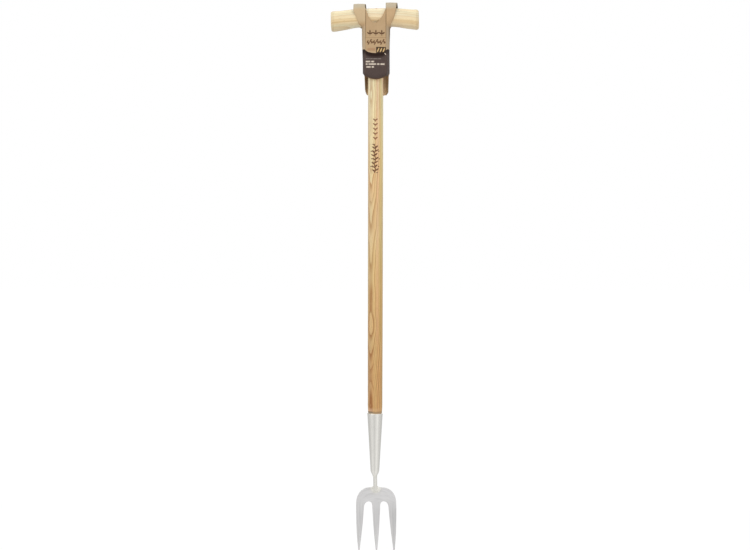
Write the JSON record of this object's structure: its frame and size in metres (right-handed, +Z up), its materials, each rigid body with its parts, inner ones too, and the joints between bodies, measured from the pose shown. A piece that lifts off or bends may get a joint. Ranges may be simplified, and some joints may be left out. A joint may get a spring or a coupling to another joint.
{
  "type": "long-handled garden fork",
  "caption": "Long-handled weeding fork: flat stainless head with tapered tines, long socket, round ash shaft, drooping ash T-bar grip and a folded card sleeve over the grip.",
  "frame": {"origin": "on the shaft's axis, at the level of the tine tips; within 2 mm of the middle of the bounding box's underside", "axes": "+Z up the shaft from the tines to the grip; the T-bar grip lies along X; the front of the fork faces -Y, and the tines curve forward towards -Y"},
  "size_m": [0.1627, 0.0334, 1.014],
  "materials": {
    "stainless_head": "fine brushed, satin",
    "weld_metal": "cleaned weld bead, slightly warm grey",
    "stainless_neck": "drawn rod, satin",
    "stainless_socket": "satin, polished along its length",
    "rivet_steel": "plain steel",
    "ash_shaft": "waxed ash, straight grain with long cathedral figure",
    "ash_crossbar": "waxed pale ash",
    "wedge_wood": "darker hardwood, end grain",
    "kraft_card": "uncoated kraft board, printed with a charcoal band"
  },
  "bodies": {
    "root": {"fork_head": "stainless_head", "head_weld": "weld_metal", "neck_rod": "stainless_neck", "neck_weld": "weld_metal", "socket": "stainless_socket", "socket_seam_weld": "weld_metal", "socket_rivet": "rivet_steel", "shaft": "ash_shaft", "crossbar": "ash_crossbar", "tenon_wedge": "wedge_wood", "crossbar_pin": "rivet_steel", "card_sleeve": "kraft_card"}
  },
  "joints": []
}
